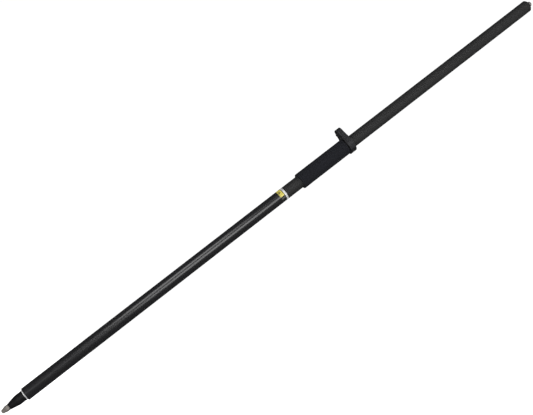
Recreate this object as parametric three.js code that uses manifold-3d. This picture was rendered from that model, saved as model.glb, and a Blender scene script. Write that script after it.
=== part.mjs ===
// A two-section surveying prism pole, 2 m from its steel tip to the shoulder that carries the prism.
// Units are millimetres, +Z runs up the pole, and the origin is the middle of the tip's flat end.
// The arm of the level vial points along -X and the clamp screw's head faces -Y.

import * as THREE from 'three';
import { mergeVertices } from 'three/addons/utils/BufferGeometryUtils.js';
import Module from 'manifold-3d';

const wasm = await Module();
wasm.setup();

// ---------------------------------------------------------------- driving dimensions

const POLE_LENGTH = 2000; // tip to the prism shoulder
const TUBE_R = 19.05; // 1.5 in tube
const TUBE_WALL = 1.9;
const GAP = 0.3; // between pieces that touch

const THREAD_R = 7.94; // 5/8-11 male thread, crests
const THREAD_BORE_R = 8.3;
const THREAD_LENGTH = 18.8; // engaged length of a section thread
const TOP_STUD_PROUD = 13;

const TIP_THREAD_R = 4.7; // 3/8-16 shank of the steel tip
const TIP_BORE_R = 5.06;
const TIP_HEIGHT = 22.4;
const TIP_R = 8.6;
const TIP_FLATS = 14.6; // across the spanner flats
const TIP_SHANK = 12;

const POINT_BOTTOM = 24;
const POINT_TOP = 72.4;
const POINT_R = 14.6;
const RING_R = 15.3; // bright ring between the point and the tube
const RING_HEIGHT = 3;

const JOINT_Z = 994.8; // top face of the lower section
const SOCKET_FLANGE = 6;
const JOINT_WASHER = 0.8;
const PLUG_LENGTH = 46; // how far an end plug reaches into its tube
const SOCKET_BORE = 26; // depth of the threaded bore at the joint
const FOOT_BORE = 22; // depth of the threaded bore at the foot
const STUD_GRIP = 32.4; // how far a stud is set into its plug
const DRILL_TIP = 2.4; // height of the cone that a drill leaves

const LABEL_HEIGHT = 16.4;
const LABEL_DROP = 23.4; // from the top face of the lower section to the label's lower edge
const LABEL_FROM = 172; // degrees round from +X
const LABEL_TO = 322;

const GRIP_R = 25;
const GRIP_BOTTOM = 1053;
const GRIP_TOP = 1230;

const BRACKET_BOTTOM = 1232.2;
const BRACKET_TOP = 1251.4;
const BRACKET_R = 28.6;
const LINER_WALL = 1.2;
const ARM_X = -42; // centre of the vial cup
const CUP_R = 15;
const CUP_BORE_R = 13;
const CUP_BOTTOM = 1234.6;
const CUP_TOP = 1250.8;
const CUP_FLOOR = 1239.6;
const CLAMP_X = 24.8; // centre line of the clamp screw
const CLAMP_Z = 1241.8;
const CLAMP_SLIT = 2;
const CLAMP_FACE_Y = 7.4; // where the screw head and the nut seat
const ADJUST_PITCH_R = 9.5;
const ADJUST_ANGLES = [-30, 90, 210];

const ROUND = 40; // sides of the large round pieces
const SMALL_ROUND = 24;

// ---------------------------------------------------------------- colours

const finish = (color, roughness, metalness) => ({ color, roughness, metalness });
const GLOSS_CARBON = finish(0x1c1d21, 0.25, 0.0);
const SATIN_CARBON = finish(0x2e2e30, 0.5, 0.0);
const BLACK_ANODISED = finish(0x222225, 0.5, 0.6);
const BARE_ALUMINIUM = finish(0xd6d6d4, 0.35, 1.0);
const STEEL = finish(0x7c756c, 0.4, 1.0);
const BRIGHT_STEEL = finish(0xb9b5ae, 0.3, 1.0);
const BLACK_OXIDE = finish(0x2b2b2d, 0.45, 0.8);
const BLACK_NYLON = finish(0x1a1a1c, 0.6, 0.0);
const GRIP_FOAM = finish(0x232327, 0.9, 0.0);
const LABEL = finish(0xc9ba58, 0.5, 0.0);
const SPIRIT = finish(0xbfd24a, 0.1, 0.0);
const CLEAR_ACRYLIC = finish(0xe8efe8, 0.05, 0.0);

// ---------------------------------------------------------------- making solids

const group = new THREE.Group();

function add(name, geometry, look) {
  const mesh = new THREE.Mesh(geometry, new THREE.MeshStandardMaterial(look));
  mesh.name = name;
  group.add(mesh);
}

// A turned solid about +Z. The profile is [radius, z] points that go up the outside, and it starts
// and ends on the axis or closes on itself.
function turned(profile, sides = ROUND) {
  const points = profile.map(([r, z]) => new THREE.Vector2(r, z));
  return new THREE.LatheGeometry(points, sides).rotateX(Math.PI / 2);
}

// A ring of rectangular section, with its outer edges chamfered.
function ring(inner, outer, low, high, chamfer = 0, sides = ROUND) {
  const profile = [[inner, low], [outer - chamfer, low]];
  if (chamfer > 0) profile.push([outer, low + chamfer], [outer, high - chamfer]);
  profile.push([outer - chamfer, high], [inner, high], [inner, low]);
  return turned(profile, sides);
}

// A plain rod about +Z.
function rod(radius, low, high, chamfer = 0, sides = SMALL_ROUND) {
  const profile = [[0, low], [radius - chamfer, low]];
  if (chamfer > 0) profile.push([radius, low + chamfer], [radius, high - chamfer]);
  profile.push([radius - chamfer, high], [0, high]);
  return turned(profile, sides);
}

// The same rod laid along +Y through the point (x, z).
function crossRod(radius, y0, y1, x, z, chamfer = 0, sides = SMALL_ROUND) {
  return rod(radius, -y1, -y0, chamfer, sides).rotateX(Math.PI / 2).translate(x, 0, z);
}

function box(x0, x1, y0, y1, z0, z1) {
  return new THREE.BoxGeometry(x1 - x0, y1 - y0, z1 - z0)
    .translate((x0 + x1) / 2, (y0 + y1) / 2, (z0 + z1) / 2);
}

function toSolid(geometry) {
  const bare = geometry.clone();
  bare.deleteAttribute('normal');
  bare.deleteAttribute('uv');
  const merged = mergeVertices(bare, 1e-4);
  const vertProperties = Float32Array.from(merged.attributes.position.array);
  const triVerts = Uint32Array.from(merged.index.array);
  return new wasm.Manifold(new wasm.Mesh({ numProp: 3, vertProperties, triVerts }));
}

function toGeometry(solid) {
  const mesh = solid.getMesh();
  const geometry = new THREE.BufferGeometry();
  geometry.setAttribute('position', new THREE.BufferAttribute(mesh.vertProperties, 3));
  geometry.setIndex(new THREE.BufferAttribute(mesh.triVerts, 1));
  geometry.computeVertexNormals();
  return geometry;
}

function cut(geometry, ...tools) {
  return toGeometry(tools.reduce((left, tool) => left.subtract(toSolid(tool)), toSolid(geometry)));
}

function common(geometry, tool) {
  return toGeometry(toSolid(geometry).intersect(toSolid(tool)));
}

// ---------------------------------------------------------------- replaceable steel tip

// A round-nosed hardened tip with two spanner flats and a threaded shank that screws up into the point.
function steelTip() {
  const shankTop = TIP_HEIGHT + TIP_SHANK + 1.6;
  const body = turned([
    [0, 0], [3.4, 0], [4.3, 0.5], [4.9, 1.6], [8.1, 11.9], [TIP_R, 13.2],
    [TIP_R, TIP_HEIGHT - 0.4], [TIP_R - 0.4, TIP_HEIGHT], [TIP_THREAD_R, TIP_HEIGHT],
    [TIP_THREAD_R, shankTop - 0.8], [TIP_THREAD_R - 0.8, shankTop], [0, shankTop],
  ], 32);
  const flat = TIP_FLATS / 2;
  const side = (y0, y1) => box(-12, 12, y0, y1, 14.6, TIP_HEIGHT - 1.4);
  return cut(body, side(flat, 12), side(-12, -flat));
}

add('steel_tip', steelTip(), STEEL);
const tipWasher = ring(TIP_BORE_R, TIP_R - 0.3, TIP_HEIGHT + GAP, POINT_BOTTOM - GAP, 0.2, 32);
add('tip_washer', tipWasher, BRIGHT_STEEL);

// ---------------------------------------------------------------- black point

// A tapered aluminium point. The steel tip screws into it from below, and its own boss screws into
// the foot of the lower tube.
function pointBody() {
  const boreTop = TIP_HEIGHT + TIP_SHANK + 4.6;
  const bossTop = POINT_TOP + RING_HEIGHT + 2 * GAP + 15.5;
  return turned([
    [0, boreTop], [TIP_BORE_R, boreTop - 2], [TIP_BORE_R, POINT_BOTTOM], [8.9, POINT_BOTTOM],
    [9.2, POINT_BOTTOM + 0.4], [14.2, 48.6], [14.5, 50.2], [POINT_R, 51.8], [POINT_R, POINT_TOP - 0.4],
    [POINT_R - 0.4, POINT_TOP], [THREAD_R, POINT_TOP], [THREAD_R, bossTop - 1.2],
    [THREAD_R - 1.2, bossTop], [0, bossTop],
  ]);
}

const ringLow = POINT_TOP + GAP;
const ringHigh = ringLow + RING_HEIGHT;
add('point_body', pointBody(), BLACK_ANODISED);
add('point_washer', ring(THREAD_BORE_R, RING_R, ringLow, ringHigh, 0.3), BARE_ALUMINIUM);

// ---------------------------------------------------------------- lower section

const footZ = ringHigh + GAP;
const plugR = TUBE_R - TUBE_WALL - GAP;
const socketLow = JOINT_Z - SOCKET_FLANGE;
const lowerTubeTop = socketLow - GAP;

// A plug inside the foot of the tube, with a blind threaded bore that opens downwards.
function footPlug() {
  const boreTop = footZ + FOOT_BORE;
  return turned([
    [0, boreTop + DRILL_TIP], [THREAD_BORE_R, boreTop], [THREAD_BORE_R, footZ], [plugR, footZ],
    [plugR, footZ + PLUG_LENGTH], [0, footZ + PLUG_LENGTH],
  ]);
}

// The bright socket at the joint: a flange as wide as the tube, over a plug with a blind bore.
function lowerEndSocket() {
  const boreLow = JOINT_Z - SOCKET_BORE;
  const plugLow = socketLow - PLUG_LENGTH + 4;
  return turned([
    [0, plugLow], [plugR, plugLow], [plugR, socketLow], [TUBE_R - 0.3, socketLow],
    [TUBE_R, socketLow + 0.3], [TUBE_R, JOINT_Z - 0.5], [TUBE_R - 0.5, JOINT_Z],
    [THREAD_BORE_R, JOINT_Z], [THREAD_BORE_R, boreLow], [0, boreLow - DRILL_TIP],
  ]);
}

// A thin printed label that wraps part of the tube just under the joint, on its front left.
function labelPatch() {
  const low = JOINT_Z - LABEL_DROP;
  const inner = TUBE_R + GAP;
  const whole = ring(inner, inner + 0.4, low, low + LABEL_HEIGHT);
  const wedge = new THREE.Shape();
  const reach = 30;
  const steps = 5;
  wedge.moveTo(0, 0);
  for (let step = 0; step <= steps; step += 1) {
    const angle = THREE.MathUtils.degToRad(LABEL_FROM + (LABEL_TO - LABEL_FROM) * step / steps);
    wedge.lineTo(reach * Math.cos(angle), reach * Math.sin(angle));
  }
  const tool = new THREE.ExtrudeGeometry(wedge, { depth: 20, bevelEnabled: false });
  return common(whole, tool.translate(0, 0, low - 2));
}

add('foot_plug', footPlug(), BARE_ALUMINIUM);
add('lower_tube', ring(TUBE_R - TUBE_WALL, TUBE_R, footZ, lowerTubeTop, 0.5), GLOSS_CARBON);
add('lower_end_socket', lowerEndSocket(), BARE_ALUMINIUM);
add('label_patch', labelPatch(), LABEL);

// ---------------------------------------------------------------- upper section

const washerLow = JOINT_Z + GAP;
const washerHigh = washerLow + JOINT_WASHER;
const upperZ = washerHigh + GAP;
const studPinZ = upperZ + 18.7;
const STUD_PIN_R = 1.5;
const STUD_PIN_HALF = 14;

// A stud that screws down into the lower section, held in its plug by a cross pin.
function jointStud() {
  const low = JOINT_Z - THREAD_LENGTH;
  const stud = rod(THREAD_R, low, upperZ + STUD_GRIP, 1.2);
  return cut(stud, crossRod(STUD_PIN_R + GAP, -20, 20, 0, studPinZ));
}

function upperEndPlug() {
  const boreTop = upperZ + STUD_GRIP + GAP;
  const plug = turned([
    [0, boreTop + DRILL_TIP], [THREAD_BORE_R, boreTop], [THREAD_BORE_R, upperZ], [plugR, upperZ],
    [plugR, upperZ + PLUG_LENGTH], [0, upperZ + PLUG_LENGTH],
  ]);
  return cut(plug, crossRod(STUD_PIN_R + GAP, -20, 20, 0, studPinZ));
}

const PRISM_FLANGE = 5.7;
const flangeLow = POLE_LENGTH - PRISM_FLANGE;
const topPinZ = POLE_LENGTH - 20;

// The black end cap: a chamfered shoulder that the prism seats on, over a plug in the tube.
function topPlug() {
  const boreLow = POLE_LENGTH - STUD_GRIP - GAP;
  const plug = turned([
    [0, flangeLow - GAP - PLUG_LENGTH + 2], [plugR, flangeLow - GAP - PLUG_LENGTH + 2],
    [plugR, flangeLow], [TUBE_R - 0.3, flangeLow], [TUBE_R, flangeLow + 0.3],
    [TUBE_R, POLE_LENGTH - 3.4], [15.6, POLE_LENGTH], [THREAD_BORE_R, POLE_LENGTH],
    [THREAD_BORE_R, boreLow], [0, boreLow - DRILL_TIP],
  ]);
  return cut(plug, crossRod(STUD_PIN_R + GAP, -20, 20, 0, topPinZ));
}

function topStud() {
  const stud = rod(THREAD_R, POLE_LENGTH - STUD_GRIP, POLE_LENGTH + TOP_STUD_PROUD, 1.2);
  return cut(stud, crossRod(STUD_PIN_R + GAP, -20, 20, 0, topPinZ));
}

// A soft sleeve with rounded ends, stretched over the tube.
function gripSleeve() {
  const inner = TUBE_R + GAP;
  const round = 2;
  const corner = (z, from) => [0, 30, 60, 90].map((step) => {
    const angle = THREE.MathUtils.degToRad(from + step);
    return [GRIP_R - round + round * Math.cos(angle), z + round * Math.sin(angle)];
  });
  return turned([
    [inner, GRIP_BOTTOM], ...corner(GRIP_BOTTOM + round, -90), ...corner(GRIP_TOP - round, 0),
    [inner, GRIP_TOP], [inner, GRIP_BOTTOM],
  ]);
}

const crossPin = (z) => crossRod(STUD_PIN_R, -STUD_PIN_HALF, STUD_PIN_HALF, 0, z, 0.3, 20);
add('joint_washer', ring(THREAD_BORE_R, TUBE_R - 0.6, washerLow, washerHigh), BLACK_NYLON);
add('joint_stud', jointStud(), BRIGHT_STEEL);
add('joint_stud_pin', crossPin(studPinZ), STEEL);
add('upper_end_plug', upperEndPlug(), BARE_ALUMINIUM);
add('upper_tube', ring(TUBE_R - TUBE_WALL, TUBE_R, upperZ, flangeLow - GAP, 0.4), SATIN_CARBON);
add('grip_sleeve', gripSleeve(), GRIP_FOAM);
add('top_plug', topPlug(), BLACK_ANODISED);
add('top_stud', topStud(), BRIGHT_STEEL);
add('top_stud_pin', crossPin(topPinZ), STEEL);

// ---------------------------------------------------------------- vial bracket

const linerOuter = TUBE_R + GAP + LINER_WALL;
const bracketBore = linerOuter + GAP;

// A split nylon sleeve that slides on the tube inside the clamp.
function bracketLiner() {
  const sleeve = ring(TUBE_R + GAP, linerOuter, BRACKET_BOTTOM + 0.2, BRACKET_TOP - 0.2);
  return cut(sleeve, box(10, 30, -CLAMP_SLIT / 2, CLAMP_SLIT / 2, BRACKET_BOTTOM - 5, BRACKET_TOP + 5));
}

// Seen from above, the bracket is a ring and a cup joined by the two lines that touch both circles.
function bracketOutline() {
  const lean = Math.asin((BRACKET_R - CUP_R) / -ARM_X);
  const from = Math.PI / 2 + lean;
  const shape = new THREE.Shape();
  shape.absarc(0, 0, BRACKET_R, -from, from, false);
  shape.absarc(ARM_X, 0, CUP_R, from, 2 * Math.PI - from, false);
  return shape;
}

// Seen from the side, the arm is thinner than the clamp ring.
function bracketSide() {
  const shape = new THREE.Shape();
  const corners = [
    [30, BRACKET_BOTTOM], [30, BRACKET_TOP], [-20, BRACKET_TOP], [-29, CUP_TOP], [-60, CUP_TOP],
    [-60, CUP_BOTTOM], [-29, CUP_BOTTOM], [-20, BRACKET_BOTTOM],
  ];
  shape.setFromPoints(corners.map(([x, z]) => new THREE.Vector2(x, z)));
  return new THREE.ExtrudeGeometry(shape, { depth: 80, bevelEnabled: false })
    .rotateX(Math.PI / 2).translate(0, 40, 0);
}

const adjustCentre = (degrees) => {
  const angle = THREE.MathUtils.degToRad(degrees);
  return [ARM_X + ADJUST_PITCH_R * Math.cos(angle), ADJUST_PITCH_R * Math.sin(angle)];
};

function vialBracket() {
  const plan = new THREE.ExtrudeGeometry(bracketOutline(), {
    depth: BRACKET_TOP - BRACKET_BOTTOM, bevelEnabled: false, curveSegments: 24,
  }).translate(0, 0, BRACKET_BOTTOM);
  const past = 5;
  const bore = rod(bracketBore, BRACKET_BOTTOM - past, BRACKET_TOP + past, 0, ROUND);
  const slit = box(10, 30, -CLAMP_SLIT / 2, CLAMP_SLIT / 2, BRACKET_BOTTOM - past, BRACKET_TOP + past);
  const cup = rod(CUP_BORE_R, CUP_FLOOR, BRACKET_TOP + past, 0, ROUND).translate(ARM_X, 0, 0);
  const screwHole = crossRod(2.3, -20, 20, CLAMP_X, CLAMP_Z);
  const headSeat = crossRod(4, -30, -CLAMP_FACE_Y, CLAMP_X, CLAMP_Z);
  const nutSeat = crossRod(4.6, CLAMP_FACE_Y, 30, CLAMP_X, CLAMP_Z);
  const adjustHoles = ADJUST_ANGLES.map((degrees) => {
    const [x, y] = adjustCentre(degrees);
    return rod(1.9, CUP_BOTTOM - past, CUP_FLOOR + past, 0, 20).translate(x, y, 0);
  });
  return cut(common(plan, bracketSide()), bore, slit, cup, screwHole, headSeat, nutSeat, ...adjustHoles);
}

// A socket-head screw across the slit, with its head towards -Y and a hexagon socket in the head.
function clampScrew() {
  const faceY = -CLAMP_FACE_Y - GAP;
  const shank = toSolid(crossRod(2, faceY - 1, 11.6, CLAMP_X, CLAMP_Z, 0.4));
  const head = toSolid(crossRod(3.5, faceY - 4, faceY, CLAMP_X, CLAMP_Z, 0.4));
  const socket = toSolid(crossRod(1.7, faceY - 6, faceY - 2, CLAMP_X, CLAMP_Z, 0, 6));
  return toGeometry(shank.add(head).subtract(socket));
}

function clampNut() {
  const nut = crossRod(4.2, CLAMP_FACE_Y + GAP, CLAMP_FACE_Y + GAP + 3, CLAMP_X, CLAMP_Z, 0, 6);
  return cut(nut, crossRod(2.3, 0, 20, CLAMP_X, CLAMP_Z));
}

add('bracket_liner', bracketLiner(), BLACK_NYLON);
add('vial_bracket', vialBracket(), BLACK_ANODISED);
add('clamp_screw', clampScrew(), BLACK_OXIDE);
add('clamp_nut', clampNut(), BLACK_OXIDE);

// ---------------------------------------------------------------- level vial in its cup

const SPRING_LOW = CUP_FLOOR + GAP;
const CASE_LOW = CUP_FLOOR + 1.9;
const CASE_R = 12.3;
const CASE_TOP = CASE_LOW + 8;
const VIAL_R = 9.6;
const FLUID_LOW = CASE_LOW + 2;
const FLUID_TOP = FLUID_LOW + 4.3;

// A screw from below: its head is under the arm and its end bears on the vial case.
function adjustingScrew(degrees) {
  const [x, y] = adjustCentre(degrees);
  const headTop = CUP_BOTTOM - GAP;
  const screw = turned([
    [0, headTop - 2.5], [2.35, headTop - 2.5], [2.75, headTop - 2.1], [2.75, headTop],
    [1.5, headTop], [1.5, CASE_LOW - 0.9], [1.1, CASE_LOW - 0.6], [0, CASE_LOW - 0.6],
  ], SMALL_ROUND);
  const slot = box(-4, 4, -0.4, 0.4, headTop - 4, headTop - 1.3);
  return cut(screw, slot).translate(x, y, 0);
}

const vialPart = (geometry) => geometry.translate(ARM_X, 0, 0);
ADJUST_ANGLES.forEach((degrees, index) => {
  add(`adjusting_screw_${index + 1}`, adjustingScrew(degrees), BLACK_OXIDE);
});
add('vial_spring', vialPart(ring(4, 7.6, SPRING_LOW, CASE_LOW - GAP, 0, 32)), BRIGHT_STEEL);
add('vial_case', vialPart(turned([
  [0, CASE_LOW], [CASE_R - 0.3, CASE_LOW], [CASE_R, CASE_LOW + 0.3], [CASE_R, CASE_TOP],
  [VIAL_R + GAP, CASE_TOP], [VIAL_R + GAP, FLUID_LOW - GAP], [0, FLUID_LOW - GAP],
], 32)), BARE_ALUMINIUM);
add('vial_fluid', vialPart(rod(VIAL_R, FLUID_LOW, FLUID_TOP, 0, 32)), SPIRIT);
add('vial_window', vialPart(turned([
  [0, FLUID_TOP + GAP], [VIAL_R, FLUID_TOP + GAP], [VIAL_R, FLUID_TOP + 1.6],
  [VIAL_R - 2, FLUID_TOP + 2.2], [VIAL_R - 5, FLUID_TOP + 2.7], [0, FLUID_TOP + 3],
], 32)), CLEAR_ACRYLIC);
const bezel = ring(VIAL_R + GAP, CASE_R, CASE_TOP + GAP, CASE_TOP + 1.9, 0.4, 32);
add('vial_bezel', vialPart(bezel), BLACK_ANODISED);

export default group;
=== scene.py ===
"""The looks of a two-section surveying prism pole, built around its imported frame.

Everything is in metres, +Z runs up the pole and the origin is the end of the steel tip.
"""

import math

import bmesh
import bpy
from bpy.props import FloatProperty, FloatVectorProperty, PointerProperty
from mathutils import Matrix, Vector


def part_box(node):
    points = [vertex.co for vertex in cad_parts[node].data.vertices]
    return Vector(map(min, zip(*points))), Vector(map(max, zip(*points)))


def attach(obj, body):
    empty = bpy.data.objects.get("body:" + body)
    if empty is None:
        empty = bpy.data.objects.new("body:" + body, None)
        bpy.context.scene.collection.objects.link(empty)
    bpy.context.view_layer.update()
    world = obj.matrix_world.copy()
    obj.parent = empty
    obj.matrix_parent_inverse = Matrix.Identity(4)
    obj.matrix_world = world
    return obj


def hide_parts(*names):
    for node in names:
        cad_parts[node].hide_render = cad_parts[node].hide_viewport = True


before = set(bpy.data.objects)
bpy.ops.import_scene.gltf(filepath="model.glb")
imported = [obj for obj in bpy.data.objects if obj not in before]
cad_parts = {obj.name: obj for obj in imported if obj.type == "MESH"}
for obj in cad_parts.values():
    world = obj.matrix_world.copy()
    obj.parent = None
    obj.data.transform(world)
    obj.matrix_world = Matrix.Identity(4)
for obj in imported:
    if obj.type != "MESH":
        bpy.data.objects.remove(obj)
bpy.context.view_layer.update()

bl_info = {
    "name": "Prism Pole",
    "version": (1, 0, 0),
    "blender": (4, 5, 0),
    "location": "View3D > Sidebar > Prism Pole",
    "description": "Builds a two-section surveying prism pole piece by piece",
    "category": "Object",
}

mm = 0.001
TURN = 2 * math.pi
SIDES = 96  # round every turned piece
BEND_STEPS = 4  # facets round a softened corner

STUD_THREAD = 0.58  # depth of an outside thread, in pitches
BORE_THREAD = 0.56  # depth of an inside thread, in pitches
BORE_ROOM = 0.22 * mm  # the 5/8-11 bores are this much larger in radius than their studs' crests
STUD_ROOM = 0.1 * mm  # and a plain bore round a stud is this much larger
HAIRLINE = 0.02 * mm  # between faces that bear on each other
RUN_OUT = 0.9 * mm  # chamfer and run-out at the ends of the 5/8-11 threads
MOUTH = 1.2 * mm  # depth of the 5/8-11 bores' countersink, and the step to their blind ends
PIN_R = 1.5 * mm
PIN_BORE_R = 1.55 * mm
CLEAR = 5 * mm  # cutting tools stand out of the work by this much
HALF_SLIT = 1.0 * mm  # half the width of the slit through the clamp and its liner
CLAMP_SEAT = 7.4 * mm  # from the middle of the slit to the seats of the clamp screw's head and nut
VIAL_CUP_R = 13 * mm

# ------------------------------------------------------------------ places read from the frame

LOW = {node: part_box(node)[0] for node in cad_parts}
HIGH = {node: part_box(node)[1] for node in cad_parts}
TUBE_R = HIGH["lower_tube"].x
POLE_TOP = HIGH["top_plug"].z
CUP_CENTRE = Vector((
    (LOW["vial_case"].x + HIGH["vial_case"].x) / 2, 0.0, LOW["vial_case"].z,
))
CLAMP_AXIS = Vector((
    (LOW["clamp_screw"].x + HIGH["clamp_screw"].x) / 2, 0.0,
    (LOW["clamp_screw"].z + HIGH["clamp_screw"].z) / 2,
))


def length(name, about, default):
    """A length that the user may change."""
    return FloatProperty(
        name=name, description=about, default=default, min=0.0, unit="LENGTH", precision=5,
    )


def colour(name, about, default):
    """A linear colour that the user may change."""
    return FloatVectorProperty(
        name=name, description=about, default=default, min=0.0, max=1.0, size=3, subtype="COLOR",
    )


class PoleSizes(bpy.types.PropertyGroup):
    """Sizes that shape the pole's pieces."""

    tube_radius: length("Tube radius", "Outside radius of both tubes", TUBE_R)
    tube_wall: length("Tube wall", "Thickness of the carbon-fibre wall", 1.9 * mm)
    section_pitch: length("Section thread pitch", "Pitch of the 5/8-11 threads", 25.4 * mm / 11)
    section_crest: length("Section thread radius", "Crest radius of the 5/8-11 threads", 7.94 * mm)
    shank_pitch: length("Tip thread pitch", "Pitch of the steel tip's 3/8-16 thread", 25.4 * mm / 16)
    shank_crest: length("Tip thread radius", "Crest radius of the steel tip's thread", 4.7 * mm)
    soft_edge: length("Edge rounding", "Radius on the edges of turned metal", 0.25 * mm)
    grip_round: length("Grip end radius", "Radius on the ends of the foam grip", 1.8 * mm)
    tow_width: length("Tow width", "Width of one tow of the carbon-fibre twill", 1.9 * mm)


class PoleColours(bpy.types.PropertyGroup):
    """Colours of the pole's materials."""

    gloss_carbon: colour("Gloss carbon", "Fibre of the lower tube", (0.0055, 0.0055, 0.0065))
    satin_carbon: colour("Satin carbon", "Fibre of the upper tube", (0.016, 0.016, 0.0163))
    anodised: colour("Black anodising", "Dye of the bracket, bezel and cap", (0.0225, 0.023, 0.0255))
    point_black: colour("Point black", "Dye of the black point", (0.0075, 0.0075, 0.0085))
    aluminium: colour("Bare aluminium", "Turned aluminium", (0.80, 0.80, 0.79))
    steel: colour("Hardened steel", "The steel tip and the cross pins", (0.38, 0.355, 0.325))
    bright_steel: colour("Stainless steel", "Studs and the spring washer", (0.60, 0.58, 0.55))
    oxide: colour("Black oxide", "Blackened steel of the small screws", (0.022, 0.022, 0.024))
    nylon: colour("Nylon", "Joint washer and bracket liner", (0.012, 0.012, 0.013))
    foam: colour("Grip foam", "Closed-cell foam of the grip", (0.0102, 0.0108, 0.0150))
    label: colour("Label", "Ground colour of the printed label", (0.66, 0.57, 0.10))
    spirit: colour("Spirit", "Liquid in the level vial", (0.55, 0.80, 0.06))


class StageSettings(bpy.types.PropertyGroup):
    """The camera, the floor and the light."""

    camera_distance: length("Camera distance", "From the pole's axis to the camera", 2.5)
    camera_height: length("Camera height", "Height of the camera over the floor", 0.383)
    aim_height: length("Aim height", "Height on the pole at the middle of the view", 0.925)
    camera_roll: FloatProperty(
        name="Camera roll", description="Turn of the camera about its view line",
        default=math.radians(52.26), subtype="ANGLE",
    )
    lens: FloatProperty(name="Lens", description="Focal length", default=59.06, unit="CAMERA")
    floor_size: length("Floor size", "Side of the square floor", 14.0)
    surround: FloatProperty(
        name="Surround", description="Brightness of the room that the pole reflects",
        default=0.13, min=0.0,
    )


# ------------------------------------------------------------------ mesh making

def new_piece(name, mesh, matrix=None):
    """Put a mesh in the scene under the piece's name, moved by the matrix if there is one."""
    if matrix is not None:
        mesh.transform(matrix)
    piece = bpy.data.objects.new(name, mesh)
    bpy.context.scene.collection.objects.link(piece)
    return piece


def mesh_from(name, points, faces):
    """A clean closed mesh: shared points merged, flattened faces gone, faces outward."""
    mesh = bpy.data.meshes.new(name)
    mesh.from_pydata([tuple(point) for point in points], [], faces)
    shape = bmesh.new()
    shape.from_mesh(mesh)
    bmesh.ops.remove_doubles(shape, verts=shape.verts, dist=2e-6)
    bmesh.ops.dissolve_degenerate(shape, edges=shape.edges, dist=1e-6)
    bmesh.ops.recalc_face_normals(shape, faces=shape.faces)
    shape.to_mesh(mesh)
    shape.free()
    return mesh


def applied(piece):
    """Turn the piece's modifiers into plain mesh."""
    graph = bpy.context.evaluated_depsgraph_get()
    mesh = bpy.data.meshes.new_from_object(
        piece.evaluated_get(graph), preserve_all_data_layers=True, depsgraph=graph,
    )
    old = piece.data
    piece.modifiers.clear()
    piece.data = mesh
    mesh.name = piece.name
    bpy.data.meshes.remove(old)


def smooth(piece, degrees=32):
    """Shade smooth, with normals that follow the large faces and breaks at sharp edges."""
    piece.data.polygons.foreach_set("use_smooth", [True] * len(piece.data.polygons))
    piece.data.set_sharp_from_angle(angle=math.radians(degrees))
    weighted = piece.modifiers.new("weighted", "WEIGHTED_NORMAL")
    weighted.keep_sharp = True
    applied(piece)


def carve(piece, *tools, operation="DIFFERENCE"):
    """Cut the tools out of the piece, or join them to it, and remove them."""
    for tool in tools:
        change = piece.modifiers.new("carve", "BOOLEAN")
        change.operation = operation
        change.solver = "EXACT"
        change.object = tool
    applied(piece)
    for tool in tools:
        bpy.data.meshes.remove(tool.data)


def soften(piece, width, segments=3, degrees=35):
    """Round every edge that is sharper than the angle."""
    bevel = piece.modifiers.new("bevel", "BEVEL")
    bevel.width = width
    bevel.segments = segments
    bevel.limit_method = "ANGLE"
    bevel.angle_limit = math.radians(degrees)
    bevel.use_clamp_overlap = True
    applied(piece)


def softened(corners, closed):
    """Corner points (r, z, bend) as an outline whose corners are arcs of radius bend."""
    outline = []
    last = len(corners) - 1
    for index, (r, z, bend) in enumerate(corners):
        here = Vector((r, z))
        if bend <= 0 or (not closed and index in (0, last)):
            outline.append(here)
            continue
        back = Vector(corners[index - 1][:2]) - here
        ahead = Vector(corners[(index + 1) % len(corners)][:2]) - here
        half = back.angle(ahead) / 2
        reach = min(bend / math.tan(half), 0.48 * min(back.length, ahead.length))
        radius = reach * math.tan(half)
        inward = (back.normalized() + ahead.normalized()).normalized()
        centre = here + inward * radius / math.sin(half)
        first = here + back.normalized() * reach - centre
        sweep = math.pi - 2 * half
        side = 1 if first.cross(here + ahead.normalized() * reach - centre) > 0 else -1
        for step in range(BEND_STEPS + 1):
            angle = side * sweep * step / BEND_STEPS
            outline.append(centre + Matrix.Rotation(angle, 2) @ first)
    return outline


def grid_faces(rows, columns, start=0):
    """Quads over a grid of points that was written row by row."""
    return [
        (at, at + 1, at + columns + 1, at + columns)
        for row in range(rows - 1)
        for at in range(start + row * columns, start + row * columns + columns - 1)
    ]


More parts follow.
